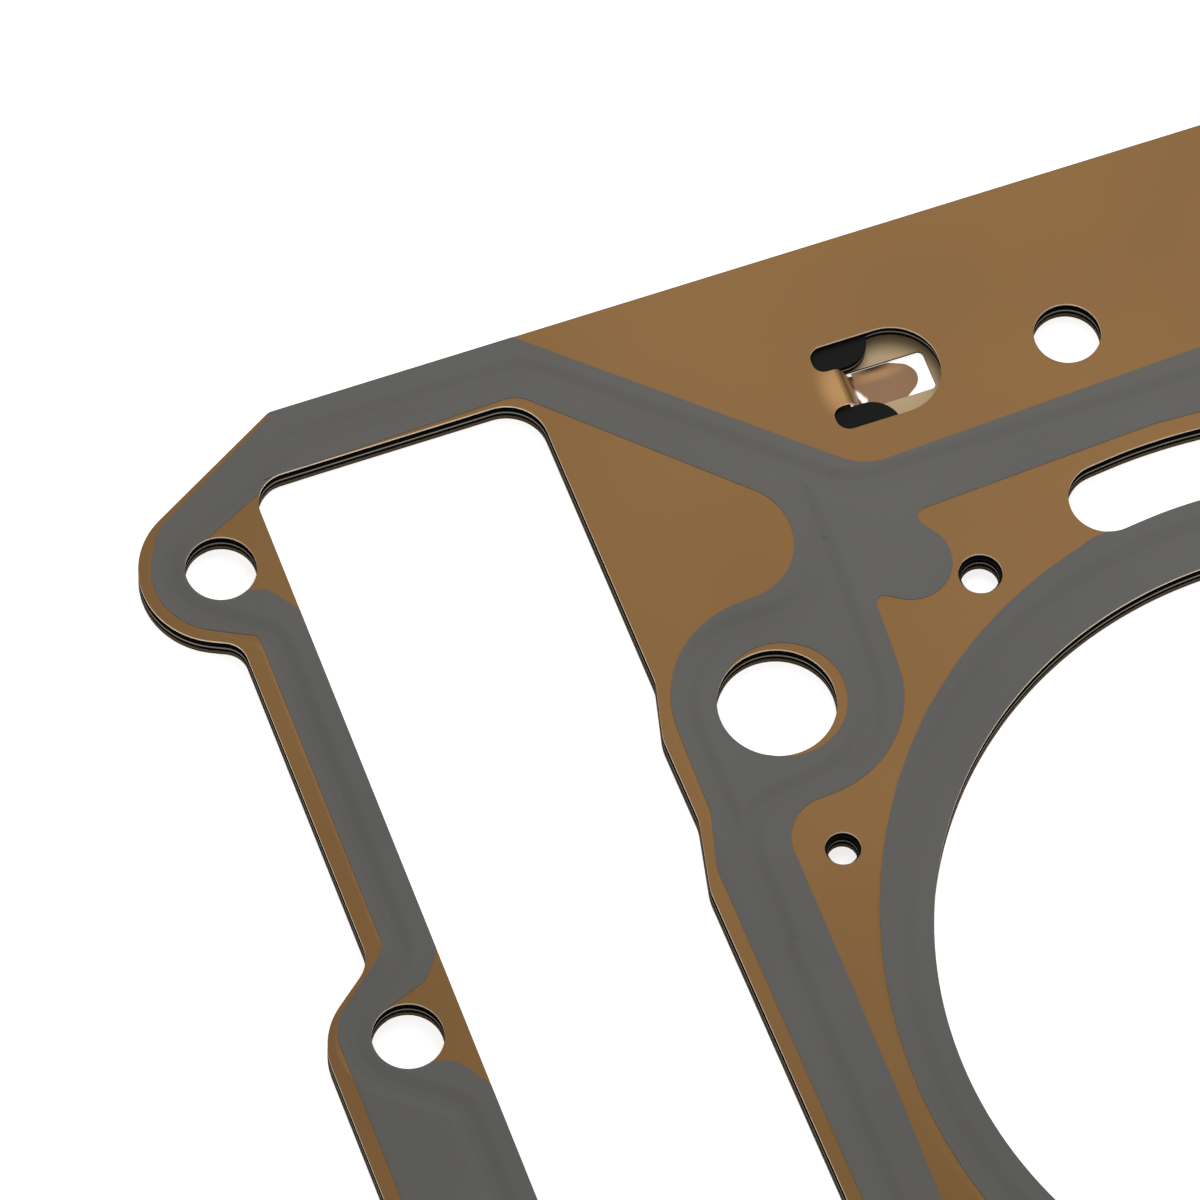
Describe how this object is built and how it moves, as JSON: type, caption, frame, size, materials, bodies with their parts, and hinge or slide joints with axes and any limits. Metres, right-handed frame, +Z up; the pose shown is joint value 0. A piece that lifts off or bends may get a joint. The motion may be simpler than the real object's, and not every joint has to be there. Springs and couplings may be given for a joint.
{
  "type": "cylinder head gasket",
  "caption": "Flat multi-layer steel cylinder head gasket with bronze coated sheets, grey printed sealing coat, bores, bolt holes, coolant slots and a chain slot.",
  "frame": {"origin": "axis of the first bore (next to the chain slot) at the gasket's underside", "axes": "+X along the row of bores, away from the chain slot; +Y towards the long straight edge outside the sealing line; +Z up, towards the cylinder head"},
  "size_m": [0.4306, 0.1549, 0.0029],
  "materials": {
    "coated_sheet": "bronze-brown coated spring steel, satin",
    "carrier_sheet": "dark olive coated steel, satin",
    "seal_print": "grey screen-printed elastomer, matt"
  },
  "bodies": {
    "root": {"top_layer": "coated_sheet", "middle_layer": "carrier_sheet", "bottom_layer": "coated_sheet", "top_seal_coat": "seal_print", "bottom_seal_coat": "seal_print"}
  },
  "joints": []
}
